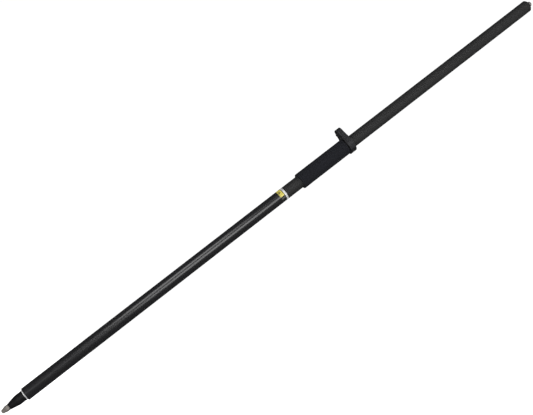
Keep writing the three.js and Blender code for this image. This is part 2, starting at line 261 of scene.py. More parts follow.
class Turned:
    """A solid of revolution about +Z, written from one end of its outline to the other."""

    def __init__(self, sides=SIDES):
        self.sides = sides
        self.points = []
        self.faces = []

    def _rows(self, rows):
        start = len(self.points)
        self.points += [point for row in rows for point in row]
        self.faces += grid_faces(len(rows), self.sides + 1, start)

    def outline(self, corners, closed=False):
        """Turn the outline through its corners (r, z, bend)."""
        outline = softened(corners, closed)
        if closed:
            outline.append(outline[0])
        self._rows([
            [(r * math.cos(TURN * k / self.sides), r * math.sin(TURN * k / self.sides), z)
             for k in range(self.sides + 1)]
            for r, z in outline
        ])
        return self

    def thread(self, low, high, base, ridge, pitch, phase=0.0, upward=True):
        """A right-hand thread on radius base, whose ridge stands out by ridge and fades at its ends.

        phase moves the ridge up by that share of a pitch.
        """
        heights = (0, 0, 0.33, 0.67, 1, 1, 0.67, 0.33)  # of the ridge, in equal steps up one pitch
        per_pitch = len(heights)
        first = math.floor(low / pitch - 1 - phase) * per_pitch
        last = math.ceil(high / pitch - phase) * per_pitch
        rows = []
        for index in range(first, last + 1):
            row = []
            for k in range(self.sides + 1):
                rise = pitch * (index / per_pitch + k / self.sides + phase)
                z = min(max(rise, low), high)
                room = max(min(z - low, high - z), 0.0)
                out = min(heights[index % per_pitch] * abs(ridge), room) * math.copysign(1, ridge)
                angle = TURN * k / self.sides
                row.append(((base + out) * math.cos(angle), (base + out) * math.sin(angle), z))
            rows.append(row)
        self._rows(rows if upward else rows[::-1])

    def piece(self, name, matrix=None):
        """Put the finished solid in the scene."""
        return new_piece(name, mesh_from(name, self.points, self.faces), matrix)


def turned_piece(name, corners, closed=False, sides=SIDES, matrix=None):
    """One plain turned piece."""
    return Turned(sides).outline(corners, closed).piece(name, matrix)


def washer_corners(inner, outer, low, high, bend):
    """The corners of a ring of rectangular section."""
    return [(inner, low, bend), (outer, low, bend), (outer, high, bend), (inner, high, bend)]


def prism(name, outline, low, high, matrix=None):
    """A closed outline [(x, y)...] pushed from low to high along Z."""
    count = len(outline)
    points = [(x, y, z) for z in (low, high) for x, y in outline]
    sides = [(k, (k + 1) % count, count + (k + 1) % count, count + k) for k in range(count)]
    ends = [tuple(range(count))[::-1], tuple(range(count, 2 * count))]
    return new_piece(name, mesh_from(name, points, sides + ends), matrix)


def block(low, high):
    """A box between two corners, as a cutting tool."""
    outline = [(low[0], low[1]), (high[0], low[1]), (high[0], high[1]), (low[0], high[1])]
    return prism("block", outline, low[2], high[2])


def rod(radius, low, high, sides=64, matrix=None):
    """A round bar along Z, as a cutting tool."""
    turns = [TURN * k / sides for k in range(sides)]
    outline = [(radius * math.cos(angle), radius * math.sin(angle)) for angle in turns]
    return prism("rod", outline, low, high, matrix)


def along_y(x, z):
    """Moves a piece made about +Z so that its axis runs along +Y through (x, z)."""
    return Matrix.Translation((x, 0, z)) @ Matrix.Rotation(-math.pi / 2, 4, "X")


# ------------------------------------------------------------------ shader nodes

class Nodes:
    """Writes shader nodes into one tree."""

    def __init__(self, tree):
        self.tree = tree

    def add(self, kind, **settings):
        made = self.tree.nodes.new(kind)
        for key, value in settings.items():
            setattr(made, key, value)
        return made

    def feed(self, socket, value):
        """Link a socket, or set it where the value is plain."""
        if isinstance(value, bpy.types.NodeSocket):
            self.tree.links.new(value, socket)
        elif value is not None:
            socket.default_value = value

    def maths(self, operation, *values):
        made = self.add("ShaderNodeMath", operation=operation)
        for socket, value in zip(made.inputs, values):
            self.feed(socket, value)
        return made.outputs[0]

    def mix(self, factor, first, second, blend="MIX"):
        """Mix two colours."""
        made = self.add("ShaderNodeMix", data_type="RGBA", blend_type=blend)
        self.feed(made.inputs["Factor"], factor)
        self.feed(made.inputs[6], first)
        self.feed(made.inputs[7], second)
        return made.outputs[2]

    def blend(self, factor, first, second):
        """Mix two values."""
        made = self.add("ShaderNodeMix", data_type="FLOAT")
        self.feed(made.inputs["Factor"], factor)
        self.feed(made.inputs[2], first)
        self.feed(made.inputs[3], second)
        return made.outputs[0]

    def spread(self, value, low, high, to_low=0.0, to_high=1.0):
        """Map a value from one range to another, and keep it inside."""
        made = self.add("ShaderNodeMapRange", interpolation_type="SMOOTHSTEP")
        for socket, number in zip(made.inputs, (value, low, high, to_low, to_high)):
            self.feed(socket, number)
        return made.outputs[0]

    def noise(self, vector, scale, detail=3.0, roughness=0.55):
        made = self.add("ShaderNodeTexNoise")
        self.feed(made.inputs["Vector"], vector)
        made.inputs["Scale"].default_value = scale
        made.inputs["Detail"].default_value = detail
        made.inputs["Roughness"].default_value = roughness
        return made.outputs["Fac"]

    def place(self):
        """Position in the piece's own space."""
        return self.add("ShaderNodeTexCoord").outputs["Object"]

    def parts(self, vector):
        made = self.add("ShaderNodeSeparateXYZ")
        self.feed(made.inputs[0], vector)
        return made.outputs

    def vector(self, x, y, z):
        made = self.add("ShaderNodeCombineXYZ")
        for socket, value in zip(made.inputs, (x, y, z)):
            self.feed(socket, value)
        return made.outputs[0]

    def group(self, tree, **values):
        made = self.add("ShaderNodeGroup", node_tree=tree)
        for key, value in values.items():
            self.feed(made.inputs[key.replace("_", " ")], value)
        return made.outputs


def new_group(name, inputs, outputs):
    """A shader node group with float sockets: inputs {name: default}, outputs [name].

    Returns the tree, a writer for it, the inputs to read and the outputs to feed.
    """
    tree = bpy.data.node_groups.new(name, "ShaderNodeTree")
    for label, default in inputs.items():
        socket = tree.interface.new_socket(name=label, in_out="INPUT", socket_type="NodeSocketFloat")
        socket.default_value = default
    for label in outputs:
        tree.interface.new_socket(name=label, in_out="OUTPUT", socket_type="NodeSocketFloat")
    nodes = Nodes(tree)
    return tree, nodes, nodes.add("NodeGroupInput").outputs, nodes.add("NodeGroupOutput").inputs


def shared(build):
    """Build a node group or a material once, and give the same one after that."""
    made = {}

    def once():
        if build.__name__ not in made:
            made[build.__name__] = build()
        return made[build.__name__]

    return once


@shared
def twill_group():
    """A two-by-two twill laid round the pole's axis.

    Tow is 1 where the tow round the tube is on top, Height is the rounded top of the tows, and
    Fleck is the small difference between one tow and the next.
    """
    tree, nodes, inputs, outputs = new_group(
        "twill", {"Tows Round": 64.0, "Tow Width": 1.9 * mm}, ["Tow", "Height", "Fleck"],
    )
    x, y, z = nodes.parts(nodes.place())
    round_share = nodes.maths("DIVIDE", nodes.maths("ARCTAN2", y, x), TURN)
    across = nodes.maths("MULTIPLY", round_share, inputs["Tows Round"])
    up = nodes.maths("DIVIDE", z, inputs["Tow Width"])
    column = nodes.maths("FLOOR", across)
    row = nodes.maths("FLOOR", up)
    step = nodes.maths("FLOORED_MODULO", nodes.maths("ADD", column, row), 4.0)
    tow = nodes.maths("LESS_THAN", step, 1.5)

    def crown(value):
        centred = nodes.maths("MULTIPLY_ADD", nodes.maths("FRACT", value), 2.0, -1.0)
        return nodes.maths("SUBTRACT", 1.0, nodes.maths("POWER", nodes.maths("ABSOLUTE", centred), 3.0))

    height = nodes.blend(tow, crown(across), crown(up))
    seed = nodes.add("ShaderNodeTexWhiteNoise", noise_dimensions="2D")
    ends = nodes.vector(nodes.blend(tow, column, 7.0), nodes.blend(tow, 3.0, row), 0.0)
    nodes.feed(seed.inputs["Vector"], ends)
    nodes.feed(outputs["Tow"], tow)
    nodes.feed(outputs["Height"], height)
    nodes.feed(outputs["Fleck"], seed.outputs["Value"])
    return tree


@shared
def tool_marks_group():
    """Fine lines left round a turned piece by the tool. They run round +Z through Centre X."""
    tree, nodes, inputs, outputs = new_group(
        "tool_marks", {"Centre X": 0.0, "Line Spacing": 0.12 * mm}, ["Height", "Patch"],
    )
    x, y, z = nodes.parts(nodes.place())
    away = nodes.maths("SUBTRACT", x, inputs["Centre X"])
    squares = nodes.maths("MULTIPLY_ADD", y, y, nodes.maths("MULTIPLY", away, away))
    radius = nodes.maths("SQRT", squares)
    walk = nodes.maths("DIVIDE", nodes.maths("ADD", z, radius), inputs["Line Spacing"])
    lines = nodes.noise(nodes.vector(walk, 0.0, 0.0), 1.0, 4.0, 0.7)
    nodes.feed(outputs["Height"], lines)
    stretched = nodes.vector(*[
        nodes.maths("MULTIPLY", value, scale) for value, scale in ((away, 60.0), (y, 60.0), (z, 90.0))
    ])
    nodes.feed(outputs["Patch"], nodes.noise(stretched, 1.0, 3.0))
    return tree


@shared
def edge_wear_group():
    """Wear goes up to Amount along edges, broken up so that it isn't a clean line."""
    tree, nodes, inputs, outputs = new_group("edge_wear", {"Width": 0.5 * mm, "Amount": 0.5}, ["Wear"])
    bevel = nodes.add("ShaderNodeBevel", samples=6)
    nodes.feed(bevel.inputs["Radius"], inputs["Width"])
    flat = nodes.add("ShaderNodeNewGeometry").outputs["Normal"]
    meet = nodes.add("ShaderNodeVectorMath", operation="DOT_PRODUCT")
    nodes.feed(meet.inputs[0], bevel.outputs[0])
    nodes.feed(meet.inputs[1], flat)
    edge = nodes.spread(meet.outputs["Value"], 0.995, 0.90)
    broken = nodes.spread(nodes.noise(nodes.place(), 900.0, 4.0, 0.65), 0.42, 0.62)
    patchy = nodes.maths("MULTIPLY", edge, broken)
    nodes.feed(outputs["Wear"], nodes.maths("MULTIPLY", patchy, inputs["Amount"]))
    return tree


@shared
def handling_group():
    """Soft smears and dust from handling: Smear is broad, Grain is fine."""
    tree, nodes, inputs, outputs = new_group("handling", {"Scale": 1.0}, ["Smear", "Grain"])
    scaled = nodes.add("ShaderNodeVectorMath", operation="SCALE")
    nodes.feed(scaled.inputs[0], nodes.place())
    nodes.feed(scaled.inputs["Scale"], inputs["Scale"])
    nodes.feed(outputs["Smear"], nodes.noise(scaled.outputs[0], 28.0, 4.0, 0.6))
    nodes.feed(outputs["Grain"], nodes.noise(scaled.outputs[0], 2600.0, 2.0, 0.5))
    return tree


def new_material(name, base, roughness, metallic=0.0, **plain):
    """A material with its Principled shader. plain sets the shader's other sockets to constants."""
    material = bpy.data.materials.new(name)
    material.use_nodes = True
    tree = material.node_tree
    tree.nodes.clear()
    nodes = Nodes(tree)
    shader = nodes.add("ShaderNodeBsdfPrincipled")
    output = nodes.add("ShaderNodeOutputMaterial")
    tree.links.new(shader.outputs[0], output.inputs[0])
    shader.inputs["Base Color"].default_value = (*base, 1.0)
    shader.inputs["Roughness"].default_value = roughness
    shader.inputs["Metallic"].default_value = metallic
    for key, value in plain.items():
        shader.inputs[key.replace("_", " ")].default_value = value
    material.diffuse_color = (*base, 1.0)
    return material, nodes, shader.inputs


def bump(nodes, inputs, height, strength, distance):
    """Raise the surface by height, a value from 0 to 1, over that distance."""
    made = nodes.add("ShaderNodeBump")
    made.inputs["Strength"].default_value = strength
    made.inputs["Distance"].default_value = distance
    nodes.feed(made.inputs["Height"], height)
    nodes.feed(inputs["Normal"], made.outputs[0])


def tones(base, factor):
    """The same colour, lighter or darker, as a colour socket takes it."""
    return (*[min(1.0, channel * factor) for channel in base], 1.0)


def grey(level):
    """A neutral tone, as a colour socket takes it."""
    return (level, level, level, 1.0)


def sizes():
    """The sizes in the panel."""
    return bpy.context.scene.pole_sizes


def colours():
    """The colours in the panel."""
    return bpy.context.scene.pole_colours


def twill(nodes):
    """The twill group fitted to the tube: whole repeats of four tows go round it."""
    tows = 4 * round(TURN * sizes().tube_radius / sizes().tow_width / 4)
    return nodes.group(
        twill_group(), Tows_Round=float(tows), Tow_Width=TURN * sizes().tube_radius / tows,
    )


@shared
def gloss_carbon():
    """Twill under a clear coat."""
    base = colours().gloss_carbon
    material, nodes, inputs = new_material(
        "gloss_carbon", base, 0.45, Coat_Weight=1.0, Coat_Roughness=0.2, Specular_IOR_Level=0.25,
    )
    weave = twill(nodes)
    hand = nodes.group(handling_group(), Scale=0.6)
    # Painted sheen: tows running round the tube are lighter and tows running up it darker, in place of the
    # fibres' own highlight; the flecks mixed in next are the tows' own tone.
    cloth_and_sheen = nodes.mix(weave["Tow"], tones(base, 0.6), tones(base, 1.7))
    cloth_and_sheen = nodes.mix(nodes.maths("MULTIPLY", weave["Fleck"], 0.35), cloth_and_sheen, tones(base, 2.4))
    # Painted shade: the valleys between the rounded tows are darker.
    valley_shade = nodes.spread(weave["Height"], 0.5, 0.0)
    nodes.feed(inputs["Base Color"], nodes.mix(valley_shade, cloth_and_sheen, tones(base, 0.25)))
    nodes.feed(inputs["Roughness"], nodes.blend(hand["Smear"], 0.38, 0.52))
    bump(nodes, inputs, weave["Height"], 0.18, 0.06 * mm)
    return material


@shared
def satin_carbon():
    """Twill with a rubbed, satin resin surface."""
    base = colours().satin_carbon
    material, nodes, inputs = new_material("satin_carbon", base, 0.65, Specular_IOR_Level=0.40)
    weave = twill(nodes)
    hand = nodes.group(handling_group(), Scale=0.8)
    # Painted sheen: tows running round the tube are lighter and tows running up it darker, in place of the
    # fibres' own highlight; the flecks mixed in next are the tows' own tone.
    cloth_and_sheen = nodes.mix(weave["Tow"], tones(base, 0.86), tones(base, 1.16))
    cloth_and_sheen = nodes.mix(nodes.maths("MULTIPLY", weave["Fleck"], 0.25), cloth_and_sheen, tones(base, 1.4))
    # Painted shade: the valleys between the rounded tows are darker.
    valley_shade = nodes.spread(weave["Height"], 0.45, 0.0)
    nodes.feed(inputs["Base Color"], nodes.mix(valley_shade, cloth_and_sheen, tones(base, 0.7)))
    nodes.feed(inputs["Roughness"], nodes.blend(hand["Smear"], 0.58, 0.74))
    grain = nodes.blend(0.35, weave["Height"], hand["Grain"])
    bump(nodes, inputs, grain, 0.22, 0.08 * mm)
    return material


def metal(name, base, roughness, metallic, centre_x=0.0, marks=0.3, wear=0.0, worn=(0.62, 0.62, 0.61)):
    """Turned metal: tool lines, smears, and edges that have rubbed bright."""
    material, nodes, inputs = new_material(name, base, roughness, metallic)
    lines = nodes.group(tool_marks_group(), Centre_X=centre_x)
    hand = nodes.group(handling_group(), Scale=2.0)
    edge = nodes.group(edge_wear_group(), Amount=wear)["Wear"]
    tone = nodes.mix(nodes.spread(lines["Patch"], 0.3, 0.7), tones(base, 0.88), tones(base, 1.1))
    nodes.feed(inputs["Base Color"], nodes.mix(edge, tone, (*worn, 1.0)))
    streak = nodes.blend(0.5, lines["Height"], hand["Smear"])
    nodes.feed(inputs["Roughness"], nodes.blend(streak, roughness * 0.8, min(1.0, roughness * 1.22)))
    bump(nodes, inputs, nodes.blend(0.3, lines["Height"], hand["Grain"]), marks, 0.03 * mm)
    return material


@shared
def black_anodised():
    """Dyed aluminium of the bracket and the cap."""
    return metal("black_anodised", colours().anodised, 0.42, 0.35, wear=0.35, worn=(0.20, 0.20, 0.20))


@shared
def point_anodised():
    """Deeper black of the point."""
    return metal("point_anodised", colours().point_black, 0.42, 0.35, wear=0.35, worn=(0.12, 0.12, 0.12))


@shared
def vial_anodised():
    """Dyed aluminium turned about the vial's axis."""
    return metal(
        "vial_anodised", colours().anodised, 0.42, 0.35, CUP_CENTRE.x, wear=0.3, worn=(0.20, 0.20, 0.20),
    )


@shared
def bare_aluminium():
    """Bright aluminium of the plugs inside the tubes."""
    return metal("bare_aluminium", colours().aluminium, 0.36, 1.0, marks=0.4)


@shared
def satin_aluminium():
    """Matt, frosted aluminium of the two rings that show."""
    return metal("satin_aluminium", colours().aluminium, 0.5, 0.35, marks=0.08)


@shared
def vial_aluminium():
    """Bright aluminium turned about the vial's axis."""
    return metal("vial_aluminium", colours().aluminium, 0.32, 1.0, CUP_CENTRE.x)


@shared
def black_oxide():
    """Blackened steel of the screws and the nut."""
    return metal("black_oxide", colours().oxide, 0.42, 0.8, marks=0.2, wear=0.3, worn=(0.16, 0.16, 0.16))


@shared
def hardened_steel():
    """Scuffed steel of the tip and the cross pins."""
    return metal("hardened_steel", colours().steel, 0.55, 0.7, marks=0.5, wear=0.5)


@shared
def bright_steel():
    """Stainless steel of the studs and the spring washers."""
    return metal("bright_steel", colours().bright_steel, 0.3, 1.0, wear=0.3, worn=(0.8, 0.79, 0.77))


@shared
def black_nylon():
    """Moulded nylon with a fine, even grain."""
    base = colours().nylon
    material, nodes, inputs = new_material("black_nylon", base, 0.55)
    hand = nodes.group(handling_group(), Scale=1.5)
    nodes.feed(inputs["Base Color"], nodes.mix(hand["Smear"], tones(base, 0.7), tones(base, 1.5)))
    nodes.feed(inputs["Roughness"], nodes.blend(hand["Smear"], 0.45, 0.65))
    bump(nodes, inputs, hand["Grain"], 0.3, 0.05 * mm)
    return material


@shared
def grip_foam():
    """Closed-cell foam: small round pores over a soft, slightly uneven skin, with the pores painted darker
    as shade.
    """
    base = colours().foam
    material, nodes, inputs = new_material("grip_foam", base, 0.92, Specular_IOR_Level=0.3)
    hand = nodes.group(handling_group(), Scale=1.0)
    cells = nodes.add("ShaderNodeTexVoronoi", feature="SMOOTH_F1")
    nodes.feed(cells.inputs["Vector"], nodes.place())
    cells.inputs["Scale"].default_value = 1100.0
    cells.inputs["Smoothness"].default_value = 0.4
    pore = nodes.spread(cells.outputs["Distance"], 0.12, 0.55)
    skin = nodes.mix(hand["Smear"], tones(base, 0.8), tones(base, 1.25))
    # Painted shade: the pores are darker than the skin round them.
    nodes.feed(inputs["Base Color"], nodes.mix(pore, tones(base, 0.55), skin))
    nodes.feed(inputs["Roughness"], nodes.blend(hand["Smear"], 0.86, 0.98))
    bump(nodes, inputs, nodes.blend(0.3, pore, hand["Grain"]), 0.5, 0.18 * mm)
    return material


@shared
def spirit():
    """Tinted liquid, clearest where it is thin."""
    base = colours().spirit
    material, nodes, inputs = new_material("spirit", base, 0.05, Transmission_Weight=0.2, IOR=1.36)
    cloud = nodes.noise(nodes.place(), 160.0, 2.0)
    nodes.feed(inputs["Base Color"], nodes.mix(cloud, tones(base, 0.85), tones(base, 1.12)))
    return material


@shared
def clear_acrylic():
    """Polished acrylic with the faintest haze."""
    material, nodes, inputs = new_material(
        "clear_acrylic", (0.96, 0.99, 0.96), 0.02, Transmission_Weight=1.0, IOR=1.49,
    )
    hand = nodes.group(handling_group(), Scale=2.0)
    nodes.feed(inputs["Roughness"], nodes.blend(hand["Smear"], 0.0, 0.05))
    return material


@shared
def bubble_air():
    """The bubble, seen as a pale lens in the spirit."""
    material, nodes, inputs = new_material(
        "bubble_air", (0.93, 0.98, 0.75), 0.03, Transmission_Weight=0.6, IOR=1.1,
    )
    cloud = nodes.noise(nodes.place(), 300.0, 2.0)
    nodes.feed(inputs["Base Color"], nodes.mix(cloud, (0.88, 0.95, 0.62, 1.0), (0.97, 1.0, 0.86, 1.0)))
    return material


@shared
def dial_black():
    """The printed ring that the bubble is read against."""
    material, nodes, inputs = new_material("dial_black", (0.01, 0.01, 0.01), 0.5)
    speck = nodes.noise(nodes.place(), 1500.0, 2.0)
    nodes.feed(inputs["Roughness"], nodes.blend(speck, 0.4, 0.6))
    return material


# ------------------------------------------------------------------ finishing a piece

def finish_piece(piece, material, body, slot, *nodes, sharp=32):
    """Give the piece its material and say which body it rides on and which nodes it stands for."""
    smooth(piece, sharp)
    piece.data.materials.clear()
    piece.data.materials.append(material)
    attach(piece, body)
    if nodes:
        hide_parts(*nodes)


# ------------------------------------------------------------------ threads and cross pins

def bore_thread(turned, low, high, base, pitch):
    """An inside thread from its top down, half a pitch away from its mate."""
    turned.thread(low, high, base, -BORE_THREAD * pitch, pitch, phase=0.5, upward=False)


def section_bore():
    """Radius of the 5/8-11 bores."""
    return sizes().section_crest + BORE_ROOM


def section_root():
    """Root radius of the 5/8-11 studs."""
    return sizes().section_crest - STUD_THREAD * sizes().section_pitch


def section_thread(turned, low, high):
    """The 5/8-11 thread on a stud or boss."""
    size = sizes()
    turned.thread(low, high, section_root(), STUD_THREAD * size.section_pitch, size.section_pitch)


def pin_height(node):
    """Height of a cross pin's axis."""
    return (LOW[node].z + HIGH[node].z) / 2


def drill_for_pin(piece, node):
    """Bore the piece through from side to side for a cross pin."""
    reach = 30 * mm
    carve(piece, rod(PIN_BORE_R, -reach, reach, 32, along_y(0, pin_height(node))))


# ------------------------------------------------------------------ the pole itself

class BuildTubes(bpy.types.Operator):
    """Build the two carbon-fibre tubes"""

    bl_idname = "prism_pole.tubes"
    bl_label = "Tubes"

    def execute(self, context):
        size = context.scene.pole_sizes
        finishes = (
            ("lower_tube", gloss_carbon(), "lower_section", "gloss_carbon", 0.9 * mm),
            ("upper_tube", satin_carbon(), "upper_section", "satin_carbon", 0.35 * mm),
        )
        for node, material, body, slot, edge in finishes:
            inner = size.tube_radius - size.tube_wall
            corners = washer_corners(inner, size.tube_radius, LOW[node].z, HIGH[node].z, edge)
            piece = turned_piece(node + "_shell", corners, closed=True, sides=128)
            finish_piece(piece, material, body, slot, node)
        return {"FINISHED"}


class BuildPlugs(bpy.types.Operator):
    """Build the aluminium plugs at the foot and at the joint, and the washer between the sections"""

    bl_idname = "prism_pole.plugs"
    bl_label = "Plugs and washer"

    def execute(self, context):
        size = context.scene.pole_sizes
        self.foot_plug(size)
        self.end_socket(size)
        self.joint_plug(size)
        self.joint_washer(size)
        return {"FINISHED"}

    def foot_plug(self, size):
        """The plug in the pole's foot, with a blind threaded bore for the point."""
        low, high = LOW["foot_plug"].z, HIGH["foot_plug"].z
        out, bore = HIGH["foot_plug"].x, section_bore()
        thread_low, thread_high = low + MOUTH, low + 20 * mm
        plug = Turned()
        plug.outline([
            (0, thread_high + 4 * mm, 0), (bore - MOUTH, thread_high + 2 * mm, 0), (bore, thread_high, 0),
        ])
        bore_thread(plug, thread_low, thread_high, bore, size.section_pitch)
        plug.outline([
            (bore, thread_low, 0), (bore + RUN_OUT, low, size.soft_edge), (out, low, size.soft_edge),
            (out, high, size.soft_edge), (0, high, 0),
        ])
        piece = plug.piece("foot_plug_turned")
        finish_piece(piece, bare_aluminium(), "lower_section", "bare_aluminium", "foot_plug")

    def end_socket(self, size):
        """The bright socket on top of the lower section, with a fine line turned into its flange."""
        low, high = LOW["lower_end_socket"].z, HIGH["lower_end_socket"].z
        plug_r, bore, edge = HIGH["foot_plug"].x, section_bore(), size.soft_edge
        flange = HIGH["lower_tube"].z
        line_r = TUBE_R - 0.2 * mm
        thread_low, thread_high = high - 22 * mm, high - MOUTH
        socket = Turned()
        socket.outline([
            (0, low, 0), (plug_r, low, edge), (plug_r, flange, 0), (TUBE_R, flange + 0.05 * mm, edge),
            (TUBE_R, high - 1.7 * mm, 0.1 * mm), (line_r, high - 1.5 * mm, 0.05 * mm),
            (line_r, high - 1.3 * mm, 0.05 * mm), (TUBE_R, high - 1.1 * mm, 0.1 * mm),
            (TUBE_R, high, 0.45 * mm), (bore + RUN_OUT, high, edge), (bore, thread_high, 0),
        ])
        bore_thread(socket, thread_low, thread_high, bore, size.section_pitch)
        socket.outline([
            (bore, thread_low, 0), (bore - MOUTH, thread_low - 2 * mm, 0), (0, thread_low - 4 * mm, 0),
        ])
        piece = socket.piece("end_socket_turned")
        finish_piece(piece, satin_aluminium(), "lower_section", "bare_aluminium", "lower_end_socket")

    def joint_plug(self, size):
        """The plug in the upper section's lower end, bored and pinned for the joint stud."""
        low, high = LOW["upper_end_plug"].z, HIGH["upper_end_plug"].z
        out, edge = HIGH["foot_plug"].x, size.soft_edge
        stud_r = size.section_crest + STUD_ROOM
        corners = [
            (0, low + 34 * mm, 0), (stud_r, low + 33 * mm, 0), (stud_r, low, edge), (out, low, edge),
            (out, high, edge), (0, high, 0),
        ]
        piece = turned_piece("joint_plug_turned", corners)
        drill_for_pin(piece, "joint_stud_pin")
        finish_piece(piece, bare_aluminium(), "upper_section", "bare_aluminium", "upper_end_plug")

    def joint_washer(self, size):
        """The nylon washer that the two sections tighten on."""
        corners = washer_corners(
            size.section_crest + 0.4 * mm, HIGH["joint_washer"].x, LOW["joint_washer"].z - 0.2 * mm,
            HIGH["joint_washer"].z + 0.2 * mm, 0.2 * mm,
        )
        piece = turned_piece("joint_washer_ring", corners, closed=True)
        finish_piece(piece, black_nylon(), "joint_washer", "black_nylon", "joint_washer")


class BuildPoint(bpy.types.Operator):
    """Build the black point and the bright ring over it"""

    bl_idname = "prism_pole.point"
    bl_label = "Point"

    def execute(self, context):
        size = context.scene.pole_sizes
        self.point(size)
        self.ring(size)
        return {"FINISHED"}

    def point(self, size):
        """Tapered below, grooved near the top, threaded outside at its boss and inside for the tip."""
        low, top = LOW["point_body"].z, LOW["point_washer"].z - HAIRLINE
        boss_top = HIGH["point_body"].z
        out = HIGH["point_body"].x
        groove_r = out - 0.4 * mm
        root = section_root()
        bore = size.shank_crest + 0.2 * mm
        thread_low, thread_high = low + 1 * mm, low + 13.8 * mm
        boss_low, boss_high = top + RUN_OUT, boss_top - 1.0 * mm

        point = Turned()
        point.outline([
            (0, low + 16 * mm, 0), (bore - 0.8 * mm, low + 14.5 * mm, 0), (bore, thread_high, 0),
        ])
        bore_thread(point, thread_low, thread_high, bore, size.shank_pitch)
        point.outline([
            (bore, thread_low, 0), (bore + 0.7 * mm, low, size.soft_edge), (9.05 * mm, low, 0.4 * mm),
            (14.25 * mm, low + 25 * mm, 12 * mm), (out, low + 28 * mm, 8 * mm),
            (out, top - 9.2 * mm, 0.15 * mm), (groove_r, top - 8.9 * mm, 0.15 * mm),
            (groove_r, top - 8.1 * mm, 0.15 * mm), (out, top - 7.8 * mm, 0.15 * mm),
            (out, top, 0.5 * mm), (root + RUN_OUT, top, 0.1 * mm), (root, boss_low, 0),
        ])
        section_thread(point, boss_low, boss_high)
        point.outline([(root, boss_high, 0), (root - RUN_OUT, boss_top, 0.1 * mm), (0, boss_top, 0)])
        piece = point.piece("point_turned")
        finish_piece(piece, point_anodised(), "pole_point", "black_anodised", "point_body")

    def ring(self, size):
        """The bright spacer between the point and the tube."""
        low, high = LOW["point_washer"].z, HIGH["point_washer"].z + 0.2 * mm
        inner, outer = size.section_crest + 0.5 * mm, HIGH["point_washer"].x
        corners = [
            (inner, low, size.soft_edge), (outer, low, 0.35 * mm), (outer, high, 0.35 * mm),
            (inner, high, size.soft_edge),
        ]
        piece = turned_piece("point_ring", corners, closed=True)
        finish_piece(piece, satin_aluminium(), "point_washer", "bare_aluminium", "point_washer")


class BuildSteelTip(bpy.types.Operator):
    """Build the replaceable steel tip and its lock washer"""

    bl_idname = "prism_pole.steel_tip"
    bl_label = "Steel tip"

    def execute(self, context):
        size = context.scene.pole_sizes
        self.tip(size)
        self.washer(size)
        return {"FINISHED"}

    def tip(self, size):
        """A round-nosed tip with two spanner flats and a threaded shank."""
        out, shank_top = HIGH["steel_tip"].x, HIGH["steel_tip"].z
        shoulder = LOW["tip_washer"].z - HAIRLINE
        depth = STUD_THREAD * size.shank_pitch
        root = size.shank_crest - depth
        chamfer = 0.6 * mm
        thread_low, thread_high = shoulder + 0.7 * mm, shank_top - 0.7 * mm

        tip = Turned()
        tip.outline([
            (0, 0, 0), (4.4 * mm, 0, 1.8 * mm), (5.2 * mm, 2.4 * mm, 2.5 * mm),
            (8.25 * mm, 12.4 * mm, 5 * mm), (out, 14.3 * mm, 2 * mm), (out, shoulder, 0.4 * mm),
            (root + chamfer, shoulder, 0.1 * mm), (root, thread_low, 0),
        ])
        tip.thread(thread_low, thread_high, root, depth, size.shank_pitch)
        tip.outline([(root, thread_high, 0), (root - chamfer, shank_top, 0.1 * mm), (0, shank_top, 0)])
        piece = tip.piece("steel_tip_turned")

        flat, beyond = 7.3 * mm, 14 * mm
        flat_low, flat_high = 14.9 * mm, shoulder - 1.3 * mm
        carve(
            piece,
            block((-beyond, -beyond, flat_low), (beyond, -flat, flat_high)),
            block((-beyond, flat, flat_low), (beyond, beyond, flat_high)),
        )
        finish_piece(piece, hardened_steel(), "steel_tip", "steel", "steel_tip")

    def washer(self, size):
        """The lock washer between the tip and the point."""
        corners = washer_corners(
            size.shank_crest + 0.3 * mm, HIGH["tip_washer"].x, LOW["tip_washer"].z,
            HIGH["tip_washer"].z + 0.25 * mm, 0.2 * mm,
        )
        piece = turned_piece("tip_washer_ring", corners, closed=True)
        finish_piece(piece, bright_steel(), "tip_washer", "bright_steel", "tip_washer")


class BuildGrip(bpy.types.Operator):
    """Build the foam grip, with soft ends and a skin that isn't quite even"""

    bl_idname = "prism_pole.grip"
    bl_label = "Grip"

    def execute(self, context):
        size = context.scene.pole_sizes
        low, high = LOW["grip_sleeve"].z, HIGH["grip_sleeve"].z
        out = HIGH["grip_sleeve"].x
        inner = size.tube_radius + 0.06 * mm
        rows = 60
        walls = [(out, low + (high - low) * k / rows, 0.0) for k in range(1, rows)]
        corners = [
            (inner, low, 0.8 * mm), (out, low, size.grip_round), *walls,
            (out, high, size.grip_round), (inner, high, 0.8 * mm),
        ]
        piece = turned_piece("grip_foam_sleeve", corners, closed=True, sides=120)
        skin_depth = 1.5 * mm
        dent_depth = 0.07 * mm
        for vertex in piece.data.vertices:
            x, y, z = vertex.co
            radius = math.hypot(x, y)
            if radius > out - skin_depth:
                angle = math.atan2(y, x)
                waves = (5 * angle + 41 * z, 3 * angle - 97 * z + 1.3, 210 * z)
                uneven = sum(math.sin(wave) for wave in waves)
                dent = 1 - dent_depth * (1.5 + 0.5 * uneven) / radius
                vertex.co.x, vertex.co.y = x * dent, y * dent
        finish_piece(piece, grip_foam(), "upper_section", "grip_foam", "grip_sleeve", sharp=60)
        return {"FINISHED"}


